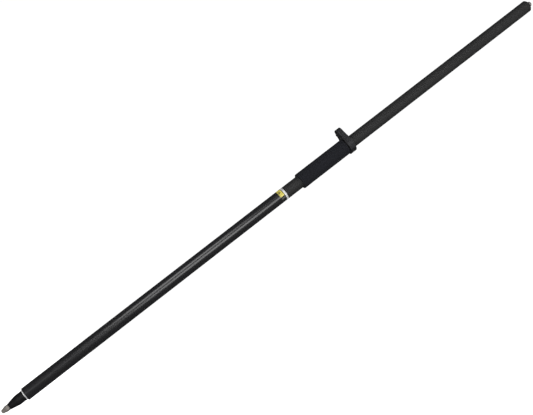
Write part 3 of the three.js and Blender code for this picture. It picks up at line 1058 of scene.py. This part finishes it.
class BuildJointStud(bpy.types.Operator):
    """Build the stud that joins the sections, and the cross pins of both studs"""

    bl_idname = "prism_pole.joint_stud"
    bl_label = "Joint stud and pins"

    def execute(self, context):
        self.stud(context.scene.pole_sizes)
        self.pin("joint_stud_pin")
        self.pin("top_stud_pin")
        return {"FINISHED"}

    def stud(self, size):
        """Threaded where it stands out of the upper section, and plain inside its plug."""
        low, high = LOW["joint_stud"].z, HIGH["joint_stud"].z
        root, crest = section_root(), size.section_crest
        thread_low, thread_high = low + RUN_OUT, LOW["upper_end_plug"].z + 1.5 * mm
        stud = Turned()
        stud.outline([(0, low, 0), (root - RUN_OUT, low, 0.1 * mm), (root, thread_low, 0)])
        section_thread(stud, thread_low, thread_high)
        stud.outline([
            (root, thread_high, 0), (crest, thread_high + 0.8 * mm, 0.1 * mm), (crest, high, 0.6 * mm),
            (0, high, 0),
        ])
        piece = stud.piece("joint_stud_turned")
        drill_for_pin(piece, "joint_stud_pin")
        finish_piece(piece, bright_steel(), "upper_section", "bright_steel", "joint_stud")

    def pin(self, node):
        """A cross pin with chamfered ends."""
        reach = HIGH[node].y
        corners = [
            (0, -reach, 0), (PIN_R, -reach, 0.4 * mm), (PIN_R, reach, 0.4 * mm), (0, reach, 0),
        ]
        across = along_y(0, pin_height(node))
        piece = turned_piece(node + "_turned", corners, sides=32, matrix=across)
        finish_piece(piece, hardened_steel(), "upper_section", "steel", node)


class BuildTopFitting(bpy.types.Operator):
    """Build the black end cap and the threaded stud that the prism screws on"""

    bl_idname = "prism_pole.top_fitting"
    bl_label = "Top fitting"

    def execute(self, context):
        size = context.scene.pole_sizes
        self.cap(size)
        self.stud(size)
        return {"FINISHED"}

    def cap(self, size):
        """A plug with a chamfered shoulder, bored and pinned for the stud."""
        low, flange = LOW["top_plug"].z, HIGH["upper_tube"].z
        plug_r, edge = HIGH["foot_plug"].x, size.soft_edge
        stud_r = size.section_crest + STUD_ROOM
        corners = [
            (0, low, 0), (plug_r, low, edge), (plug_r, flange, 0), (TUBE_R, flange + 0.03 * mm, edge),
            (TUBE_R, POLE_TOP - 3.6 * mm, 0.5 * mm), (15.7 * mm, POLE_TOP, 0.5 * mm),
            (stud_r + 0.5 * mm, POLE_TOP, 0.15 * mm), (stud_r, POLE_TOP - 0.6 * mm, 0),
            (stud_r, POLE_TOP - 34 * mm, 0), (0, POLE_TOP - 35 * mm, 0),
        ]
        piece = turned_piece("top_cap_turned", corners)
        drill_for_pin(piece, "top_stud_pin")
        finish_piece(piece, black_anodised(), "upper_section", "black_anodised", "top_plug")

    def stud(self, size):
        """Plain inside the cap and threaded above it, with a small hollow in its end."""
        low, high = LOW["top_stud"].z, HIGH["top_stud"].z
        root, crest = section_root(), size.section_crest
        thread_low, thread_high = POLE_TOP + 0.1 * mm, high - 1.1 * mm
        stud = Turned()
        stud.outline([
            (0, low, 0), (crest, low, 0.5 * mm), (crest, POLE_TOP - 0.8 * mm, 0.1 * mm),
            (root, thread_low, 0),
        ])
        section_thread(stud, thread_low, thread_high)
        stud.outline([
            (root, thread_high, 0), (root - 1.0 * mm, high, 0.15 * mm), (1.6 * mm, high, 0.1 * mm),
            (0, high - 1.0 * mm, 0),
        ])
        piece = stud.piece("top_stud_turned")
        drill_for_pin(piece, "top_stud_pin")
        finish_piece(piece, bright_steel(), "upper_section", "bright_steel", "top_stud")


# ------------------------------------------------------------------ label

LABEL_FROM = math.radians(172)
LABEL_TO = math.radians(322)
LABEL_SPLIT = math.radians(283)  # the yellow ground ends here and the dark strip begins
LABEL_BORDER = 1.2 * mm


def wrapped_panel(name, start, end, low, high, radius, thick, corner, columns=96, rows=14):
    """A thin panel with rounded corners, wrapped round the tube from one angle to another."""
    reach = (end - start) * radius
    points = []
    for layer in (radius, radius + thick):
        for row in range(rows + 1):
            for column in range(columns + 1):
                along = reach * (0.5 - 0.5 * math.cos(math.pi * column / columns))
                short = max(corner - min(along, reach - along), 0)
                inset = corner - math.sqrt(max(corner ** 2 - short ** 2, 0)) if short else 0
                z = low + inset + (high - low - 2 * inset) * row / rows
                angle = start + along / radius
                points.append((layer * math.cos(angle), layer * math.sin(angle), z))
    width, count = columns + 1, (rows + 1) * (columns + 1)
    outer = grid_faces(rows + 1, width, count)
    inner = [face[::-1] for face in grid_faces(rows + 1, width)]
    rim = list(range(columns))
    rim += [row * width + columns for row in range(rows)]
    rim += [rows * width + column for column in range(columns, 0, -1)]
    rim += [row * width for row in range(rows, 0, -1)]
    walls = [(a, b, b + count, a + count) for a, b in zip(rim, rim[1:] + rim[:1])]
    return new_piece(name, mesh_from(name, points, inner + outer + walls))


def label_print():
    """Printed vinyl: a yellow ground with a plain emblem and border, and a dark strip of tick marks."""
    base = colours().label
    low, high = LOW["label_patch"].z, HIGH["label_patch"].z
    material, nodes, inputs = new_material(
        "label_print", base, 0.42, Coat_Weight=0.3, Coat_Roughness=0.2,
    )
    x, y, z = nodes.parts(nodes.place())
    angle = nodes.maths("FLOORED_MODULO", nodes.maths("ARCTAN2", y, x), TURN)
    along = nodes.maths("MULTIPLY", nodes.maths("SUBTRACT", angle, LABEL_FROM), TUBE_R)
    up = nodes.maths("SUBTRACT", z, low)
    split = (LABEL_SPLIT - LABEL_FROM) * TUBE_R
    height = high - low

    def both(first, second):
        return nodes.maths("MULTIPLY", first, second)

    def above(value, edge):
        return nodes.maths("GREATER_THAN", value, edge)

    def below(value, edge):
        return nodes.maths("LESS_THAN", value, edge)

    def panel(left, right, bottom, top):
        columns = both(above(along, left), below(along, right))
        return both(columns, both(above(up, bottom), below(up, top)))

    ground = panel(LABEL_BORDER, split - LABEL_BORDER, LABEL_BORDER, height - LABEL_BORDER)
    middle = split * 0.56
    away = nodes.maths("ABSOLUTE", nodes.maths("SUBTRACT", along, middle))
    rise = nodes.maths("SUBTRACT", up, 0.24 * height)
    peak = nodes.maths("ADD", nodes.maths("MULTIPLY", away, 1.5), rise)
    triangle = both(above(rise, 0.0), below(peak, 0.52 * height))
    hollow = both(above(rise, 1.2 * mm), below(peak, 0.30 * height))
    emblem = both(triangle, nodes.maths("SUBTRACT", 1.0, hollow))
    underline = panel(2.6 * mm, split - 2.6 * mm, 1.7 * mm, 2.4 * mm)
    ink = nodes.maths("MAXIMUM", emblem, underline)
    tick = below(nodes.maths("FLOORED_MODULO", up, 2.4 * mm), 0.7 * mm)
    ticks = both(tick, panel(split + 2.2 * mm, split + 6.4 * mm, 1.5 * mm, height - 1.5 * mm))
    hand = nodes.group(handling_group(), Scale=2.0)
    yellow = nodes.mix(hand["Smear"], tones(base, 0.88), tones(base, 1.1))
    printed = nodes.mix(both(ink, 0.9), yellow, (0.05, 0.045, 0.03, 1.0))
    shade = nodes.mix(ground, grey(0.012), printed)
    nodes.feed(inputs["Base Color"], nodes.mix(both(ticks, 0.8), shade, (0.35, 0.34, 0.30, 1.0)))
    nodes.feed(inputs["Roughness"], nodes.blend(hand["Smear"], 0.34, 0.52))
    bump(nodes, inputs, nodes.blend(0.4, ink, hand["Grain"]), 0.25, 0.02 * mm)
    return material


class BuildLabel(bpy.types.Operator):
    """Build the printed label under the joint"""

    bl_idname = "prism_pole.label"
    bl_label = "Label"

    def execute(self, context):
        radius = context.scene.pole_sizes.tube_radius + HAIRLINE
        piece = wrapped_panel(
            "label_vinyl", LABEL_FROM, LABEL_TO, LOW["label_patch"].z, HIGH["label_patch"].z, radius,
            thick=0.12 * mm, corner=1.6 * mm,
        )
        finish_piece(piece, label_print(), "lower_section", "label_print", "label_patch", sharp=50)
        return {"FINISHED"}


# ------------------------------------------------------------------ vial bracket

VIAL_PLACE = Matrix.Translation((CUP_CENTRE.x, 0, 0))  # moves a piece made about +Z to the vial
CLAMP_PLACE = along_y(CLAMP_AXIS.x, CLAMP_AXIS.z)  # and to the clamp screw
ADJUSTERS = (1, 2, 3)


def arc(centre_x, radius, start, end, steps=72):
    """Points on a circle round (centre_x, 0), from one angle to another."""
    angles = [start + (end - start) * k / steps for k in range(steps + 1)]
    return [(centre_x + radius * math.cos(angle), radius * math.sin(angle)) for angle in angles]


def bracket_outline(ring_r, cup_r, arm):
    """The ring and the cup from above, joined by the two lines that touch both circles."""
    touch = math.pi / 2 + math.asin((ring_r - cup_r) / arm)
    return arc(0, ring_r, -touch, touch) + arc(-arm, cup_r, touch, TURN - touch)


def screw_place(number):
    """Moves a piece made about +Z onto the axis of an adjusting screw."""
    node = f"adjusting_screw_{number}"
    x = (LOW[node].x + HIGH[node].x) / 2
    y = (LOW[node].y + HIGH[node].y) / 2
    return Matrix.Translation((x, y, 0.0))


def slit_tool(low, high):
    """Cuts the slit from the bore to the outside, through everything between two heights."""
    return block((10 * mm, -HALF_SLIT, low - CLEAR), (40 * mm, HALF_SLIT, high + CLEAR))


class BuildBracket(bpy.types.Operator):
    """Build the clamp that carries the level vial, and its split liner"""

    bl_idname = "prism_pole.bracket"
    bl_label = "Vial bracket"

    def execute(self, context):
        self.clamp()
        self.liner(context.scene.pole_sizes)
        return {"FINISHED"}

    def clamp(self):
        """The split ring, the arm that steps down from it and the cup at the arm's end."""
        low, high = LOW["vial_bracket"].z, HIGH["vial_bracket"].z
        ring_r = HIGH["vial_bracket"].x
        arm = -CUP_CENTRE.x
        cup_r = -LOW["vial_bracket"].x - arm
        cup_low, cup_high = LOW["adjusting_screw_1"].z + 2.8 * mm, high - 0.6 * mm
        cup_floor = LOW["vial_spring"].z - 0.3 * mm
        bore = HIGH["bracket_liner"].y + 0.1 * mm
        beyond = 40 * mm

        clamp = prism("vial_bracket_milled", bracket_outline(ring_r, cup_r, arm), low, high)
        ramp = [(30, 0), (-20, 0), (-22, 0.08), (-27, 0.92), (-29, 1), (-60, 1)]
        top = [(x * mm, high - step * (high - cup_high)) for x, step in ramp]
        bottom = [(x * mm, low + step * (cup_low - low)) for x, step in ramp]
        upright = Matrix.Rotation(math.pi / 2, 4, "X")
        side = prism("side", top + bottom[::-1], -beyond, beyond, upright)
        carve(clamp, side, operation="INTERSECT")
        carve(
            clamp,
            rod(bore, low - CLEAR, high + CLEAR, 128),
            slit_tool(low, high),
            rod(VIAL_CUP_R, cup_floor, high + CLEAR, 96, VIAL_PLACE),
        )
        soften(clamp, 0.45 * mm)

        screw_holes = [
            rod(1.75 * mm, cup_low - CLEAR, cup_floor + CLEAR, 32, screw_place(number))
            for number in ADJUSTERS
        ]
        carve(
            clamp,
            rod(2.2 * mm, -20 * mm, 20 * mm, 48, CLAMP_PLACE),
            rod(3.95 * mm, -beyond, -CLAMP_SEAT, 64, CLAMP_PLACE),
            rod(4.5 * mm, CLAMP_SEAT, beyond, 64, CLAMP_PLACE),
            *screw_holes,
        )
        soften(clamp, 0.15 * mm, 2, 40)
        finish_piece(
            clamp, black_anodised(), "vial_bracket", "black_anodised", "vial_bracket", sharp=40,
        )

    def liner(self, size):
        """The nylon sleeve between the clamp and the tube, split with the clamp."""
        low, high = LOW["bracket_liner"].z, HIGH["bracket_liner"].z
        corners = washer_corners(
            size.tube_radius + 0.06 * mm, HIGH["bracket_liner"].y, low, high, 0.3 * mm,
        )
        liner = turned_piece("bracket_liner_sleeve", corners, closed=True)
        carve(liner, slit_tool(low, high))
        finish_piece(liner, black_nylon(), "bracket_liner", "black_nylon", "bracket_liner")


class BuildFasteners(bpy.types.Operator):
    """Build the clamp screw, its nut and the three adjusting screws"""

    bl_idname = "prism_pole.fasteners"
    bl_label = "Fasteners"

    def execute(self, context):
        self.clamp_screw()
        self.clamp_nut()
        for number in ADJUSTERS:
            self.adjusting_screw(number)
        return {"FINISHED"}

    def clamp_screw(self):
        """An M4 cap screw with a hexagon socket."""
        head_low, end = LOW["clamp_screw"].y, HIGH["clamp_screw"].y
        root, head_r = 1.65 * mm, 3.45 * mm
        seat = -CLAMP_SEAT - HAIRLINE
        thread_end = end - 0.4 * mm
        screw = Turned(64)
        screw.outline([
            (0, head_low, 0), (head_r, head_low, 0.35 * mm), (head_r, seat, 0.15 * mm), (root, seat, 0),
        ])
        screw.thread(seat, thread_end, root, ridge=0.35 * mm, pitch=0.7 * mm)
        screw.outline([(root, thread_end, 0), (1.3 * mm, end, 0), (0, end, 0)])
        piece = screw.piece("clamp_screw_turned", CLAMP_PLACE)
        key_depth = 2 * mm
        carve(piece, rod(1.72 * mm, head_low - key_depth, head_low + key_depth, 6, CLAMP_PLACE))
        finish_piece(piece, black_oxide(), "clamp_screw", "black_oxide", "clamp_screw")

    def clamp_nut(self):
        """An M4 nut, drilled for the clamp screw."""
        nut = rod(4.2 * mm, LOW["clamp_nut"].y - 0.25 * mm, HIGH["clamp_nut"].y, 6, CLAMP_PLACE)
        nut.name = "clamp_nut_hex"
        carve(nut, rod(2.05 * mm, 0, 20 * mm, 48, CLAMP_PLACE))
        soften(nut, 0.25 * mm)
        finish_piece(nut, black_oxide(), "vial_bracket", "black_oxide", "clamp_nut")

    def adjusting_screw(self, number):
        """A slotted M3 screw under the vial's cup, its slot turned a little further each time."""
        node = f"adjusting_screw_{number}"
        low, high = LOW[node].z, HIGH[node].z
        root, head_r = 1.2 * mm, 2.75 * mm
        head = low + 2.72 * mm
        thread_end = high - 0.5 * mm
        screw = Turned(48)
        screw.outline([
            (0, low, 0), (head_r, low, 0.6 * mm), (head_r, head, 0.1 * mm), (root, head, 0),
        ])
        screw.thread(head, thread_end, root, ridge=0.3 * mm, pitch=0.5 * mm)
        screw.outline([(root, thread_end, 0), (0.8 * mm, high, 0.2 * mm), (0, high, 0)])
        piece = screw.piece(node + "_turned", screw_place(number))
        half_slot = 0.38 * mm
        slot = block((-4 * mm, -half_slot, low - 2 * mm), (4 * mm, half_slot, low + 1.1 * mm))
        slot.data.transform(screw_place(number) @ Matrix.Rotation(0.7 * number, 4, "Z"))
        carve(piece, slot)
        finish_piece(piece, black_oxide(), node, "black_oxide", node)


# ------------------------------------------------------------------ level vial

VIAL_R = HIGH["vial_case"].x - CUP_CENTRE.x
SPIRIT_R = HIGH["vial_fluid"].x - CUP_CENTRE.x
CASE_BORE_R = SPIRIT_R + 0.05 * mm
SPIRIT_FLOOR = LOW["vial_fluid"].z
WINDOW_LOW, WINDOW_TOP = LOW["vial_window"].z, HIGH["vial_window"].z
DOME_BEND = 9 * mm  # the domed faces bend this softly halfway out


def vial_piece(name, corners, material, slot, *nodes, closed=False, sides=72):
    """One turned piece of the vial, riding with it."""
    piece = turned_piece(name, corners, closed, sides, VIAL_PLACE)
    finish_piece(piece, material, "vial", slot, *nodes)


class BuildVial(bpy.types.Operator):
    """Build the round level vial: spring, case, spirit, window, ring mark, bubble and bezel"""

    bl_idname = "prism_pole.vial"
    bl_label = "Level vial"

    def execute(self, context):
        self.spring()
        self.case()
        self.spirit_body()
        self.window()
        self.ring_mark()
        self.bubble()
        self.bezel()
        return {"FINISHED"}

    def spring(self):
        """A wave washer: a flat ring that rises and falls three times on its way round."""
        low, high = LOW["vial_spring"].z, HIGH["vial_spring"].z
        inner, outer = 4.6 * mm, 7.4 * mm
        thick = 0.35 * mm
        turns = 144
        points = []
        for k in range(turns):
            angle = TURN * k / turns
            z = (low + high) / 2 + (high - low - thick) / 2 * math.sin(3 * angle)
            for radius, lift in ((inner, -0.5), (outer, -0.5), (outer, 0.5), (inner, 0.5)):
                points.append((radius * math.cos(angle), radius * math.sin(angle), z + lift * thick))
        faces = []
        for k in range(turns):
            here, there = 4 * k, 4 * ((k + 1) % turns)
            faces += [(here + c, here + (c + 1) % 4, there + (c + 1) % 4, there + c) for c in range(4)]
        piece = new_piece("vial_spring_wave", mesh_from("vial_spring_wave", points, faces), VIAL_PLACE)
        finish_piece(piece, bright_steel(), "vial_spring", "bright_steel", "vial_spring")

    def case(self):
        """A shallow turned dish that holds the spirit."""
        low, high = LOW["vial_case"].z, HIGH["vial_case"].z
        floor = SPIRIT_FLOOR - 0.05 * mm
        corners = [
            (0, low, 0), (VIAL_R, low, 0.5 * mm), (VIAL_R, high, 0.3 * mm),
            (CASE_BORE_R, high, 0.2 * mm), (CASE_BORE_R, floor, 0.3 * mm), (0, floor, 0),
        ]
        vial_piece("vial_case_turned", corners, vial_aluminium(), "bare_aluminium", "vial_case")

    def spirit_body(self):
        """The spirit fills the case up to the underside of the dome."""
        corners = [
            (0, SPIRIT_FLOOR, 0), (SPIRIT_R, SPIRIT_FLOOR, 0.2 * mm),
            (SPIRIT_R, WINDOW_LOW - 0.75 * mm, 0.2 * mm),
            (SPIRIT_R / 2, WINDOW_LOW - 0.25 * mm, DOME_BEND), (0, WINDOW_LOW - 0.1 * mm, 0),
        ]
        vial_piece("vial_spirit_body", corners, spirit(), "vial_spirit", "vial_fluid")

    def window(self):
        """The acrylic dome, curved on both faces."""
        corners = [
            (0, WINDOW_LOW, 0), (SPIRIT_R / 2, WINDOW_LOW - 0.15 * mm, DOME_BEND),
            (SPIRIT_R, WINDOW_LOW - 0.65 * mm, 0), (SPIRIT_R, WINDOW_TOP - 1.1 * mm, 0.4 * mm),
            (SPIRIT_R / 2, WINDOW_TOP - 0.3 * mm, DOME_BEND), (0, WINDOW_TOP, 0),
        ]
        vial_piece("vial_window_dome", corners, clear_acrylic(), "vial_clear", "vial_window")

    def ring_mark(self):
        """The printed ring that the bubble is read against, just under the dome."""
        inner, outer = 3.1 * mm, 3.45 * mm
        corners = washer_corners(inner, outer, WINDOW_LOW - 0.13 * mm, WINDOW_LOW - 0.06 * mm, 0)
        vial_piece("vial_ring_mark", corners, dial_black(), "black_nylon", closed=True)

    def bubble(self):
        """A flattened bubble that has risen to the middle of the dome."""
        top = WINDOW_LOW - 0.2 * mm
        wide, half_deep = 2.6 * mm, 0.65 * mm
        steps = 14
        angles = [math.pi * k / steps for k in range(1, steps)]
        rounds = [
            (wide * math.sin(angle) ** 0.9, top - half_deep - half_deep * math.cos(angle), 0)
            for angle in angles
        ]
        corners = [(0, top - 2 * half_deep, 0), *rounds, (0, top, 0)]
        vial_piece("vial_bubble", corners, bubble_air(), "vial_clear", sides=48)

    def bezel(self):
        """The ring that holds the window down."""
        low, high = LOW["vial_bezel"].z - 0.25 * mm, HIGH["vial_bezel"].z
        corners = [
            (CASE_BORE_R, low, 0.1 * mm), (VIAL_R, low, 0.1 * mm), (VIAL_R, high, 0.5 * mm),
            (CASE_BORE_R, high, 0.5 * mm),
        ]
        vial_piece(
            "vial_bezel_turned", corners, vial_anodised(), "black_anodised", "vial_bezel", closed=True,
        )


# ------------------------------------------------------------------ stage

def area_light(name, place, target, width, height, power):
    """A soft box that faces the target."""
    light = bpy.data.lights.new(name, "AREA")
    light.shape = "RECTANGLE"
    light.size = width
    light.size_y = height
    light.energy = power
    lamp = bpy.data.objects.new(name, light)
    bpy.context.scene.collection.objects.link(lamp)
    away = Vector(place) - Vector(target)
    lamp.matrix_world = Matrix.Translation(place) @ away.to_track_quat("Z", "Y").to_matrix().to_4x4()
    lamp.visible_camera = False


def strip_light(name, bearing, distance, low, high, width, power):
    """An upright strip. bearing is its angle round the pole from the camera, + to the right."""
    angle = math.radians(bearing)
    place = Vector((distance * math.sin(angle), -distance * math.cos(angle), (low + high) / 2))
    area_light(name, place, Vector((0, 0, place.z)), width, high - low, power)


class BuildStage(bpy.types.Operator):
    """Build the floor, the light and the camera"""

    bl_idname = "prism_pole.stage"
    bl_label = "Stage"

    def execute(self, context):
        stage = context.scene.pole_stage
        context.scene.view_settings.view_transform = "Standard"
        self.floor(stage)
        self.surround(stage)
        # the strips: bearing, distance, low end, high end, width, power
        strip_light("strip_left", -35, 2.5, 0.38, 1.25, 1.15, 12.0)
        strip_light("strip_middle", 8, 2.7, 0.58, 1.95, 1.30, 22.0)
        strip_light("strip_low", -10, 2.5, -0.35, 0.50, 0.34, 1.0)
        strip_light("strip_tip", -6, 2.5, -1.5, -0.35, 1.10, 3.0)
        area_light("overhead", (-1.0, -2.0, 4.6), (0, 0, 0.6), 2.8, 2.8, 35)
        area_light("fill_right", (2.6, -1.6, 3.6), (0, 0, 0.9), 1.8, 1.8, 20)
        area_light("rear", (0.9, 3.4, 3.4), (0, 0, 0.9), 2.6, 2.6, 45)
        self.camera(stage)
        return {"FINISHED"}

    def floor(self, stage):
        """White paper, evenly lit as the camera sees it."""
        half = stage.floor_size / 2
        floor = prism("floor", [(-half, -half), (half, -half), (half, half), (-half, half)], -20 * mm, 0.0)
        material, nodes, inputs = new_material(
            "floor_paper", (0.93, 0.93, 0.93), 0.9, Emission_Strength=1.0,
        )
        seen = nodes.add("ShaderNodeLightPath").outputs["Is Camera Ray"]
        nodes.feed(inputs["Emission Color"], nodes.mix(seen, grey(0.6), grey(1.1)))
        tooth = nodes.noise(nodes.place(), 400.0, 3.0)
        nodes.feed(inputs["Base Color"], nodes.mix(tooth, grey(0.925), grey(0.94)))
        floor.data.materials.append(material)
        floor.visible_glossy = False
        floor.visible_shadow = False

    def surround(self, stage):
        """White to the camera, and a dim room with a dark far side to everything else."""
        world = bpy.data.worlds.new("studio")
        bpy.context.scene.world = world
        world.use_nodes = True
        tree = world.node_tree
        tree.nodes.clear()
        nodes = Nodes(tree)
        direction = nodes.add("ShaderNodeTexCoord").outputs["Generated"]
        front = nodes.spread(nodes.parts(direction)["Y"], 0.5, -0.6, 0.5, 1.0)
        room = nodes.maths("MULTIPLY", front, stage.surround)
        seen = nodes.add("ShaderNodeLightPath").outputs["Is Camera Ray"]
        background = nodes.add("ShaderNodeBackground")
        background.inputs["Color"].default_value = grey(1.0)
        nodes.feed(background.inputs["Strength"], nodes.blend(seen, room, 1.05))
        output = nodes.add("ShaderNodeOutputWorld")
        tree.links.new(background.outputs[0], output.inputs[0])

    def camera(self, stage):
        """In front of the pole, looking up a little and rolled so that the pole lies across the view."""
        place = Vector((0.0, -stage.camera_distance, stage.camera_height))
        view = (Vector((0.0, 0.0, stage.aim_height)) - place).normalized()
        right = Vector((1.0, 0.0, 0.0))
        up = right.cross(view)
        roll = stage.camera_roll
        across = math.cos(roll) * right + math.sin(roll) * up
        top = math.cos(roll) * up - math.sin(roll) * right
        lens = bpy.data.cameras.new("camera")
        lens.lens = stage.lens
        lens.sensor_width = 36.0
        lens.clip_start = 0.01
        camera = bpy.data.objects.new("camera", lens)
        bpy.context.scene.collection.objects.link(camera)
        turn = Matrix((across, top, -view)).transposed().to_4x4()
        camera.matrix_world = Matrix.Translation(place) @ turn
        bpy.context.scene.camera = camera


# ------------------------------------------------------------------ panel and registration

BUILDERS = (
    BuildTubes, BuildPlugs, BuildPoint, BuildSteelTip, BuildGrip, BuildJointStud, BuildTopFitting,
    BuildLabel, BuildBracket, BuildFasteners, BuildVial, BuildStage,
)


class PolePanel(bpy.types.Panel):
    """Lists the sizes, the colours and the pieces"""

    bl_idname = "VIEW3D_PT_prism_pole"
    bl_label = "Prism Pole"
    bl_space_type = "VIEW_3D"
    bl_region_type = "UI"
    bl_category = "Prism Pole"

    def draw(self, context):
        layout = self.layout
        scene = context.scene
        groups = (
            ("Sizes", scene.pole_sizes), ("Colours", scene.pole_colours), ("Stage", scene.pole_stage),
        )
        for title, group in groups:
            box = layout.box()
            box.label(text=title)
            for key in group.bl_rna.properties.keys():
                if key not in ("rna_type", "name"):
                    box.prop(group, key)
        for builder in BUILDERS:
            layout.operator(builder.bl_idname)


CLASSES = (PoleSizes, PoleColours, StageSettings, *BUILDERS, PolePanel)


def register():
    for item in CLASSES:
        bpy.utils.register_class(item)
    bpy.types.Scene.pole_sizes = PointerProperty(type=PoleSizes)
    bpy.types.Scene.pole_colours = PointerProperty(type=PoleColours)
    bpy.types.Scene.pole_stage = PointerProperty(type=StageSettings)


def unregister():
    for name in ("pole_sizes", "pole_colours", "pole_stage"):
        delattr(bpy.types.Scene, name)
    for item in reversed(CLASSES):
        bpy.utils.unregister_class(item)


def main():
    """Build the pole and its stage."""
    register()
    for builder in BUILDERS:
        group, name = builder.bl_idname.split(".")
        getattr(getattr(bpy.ops, group), name)()


if __name__ == "__main__":
    main()
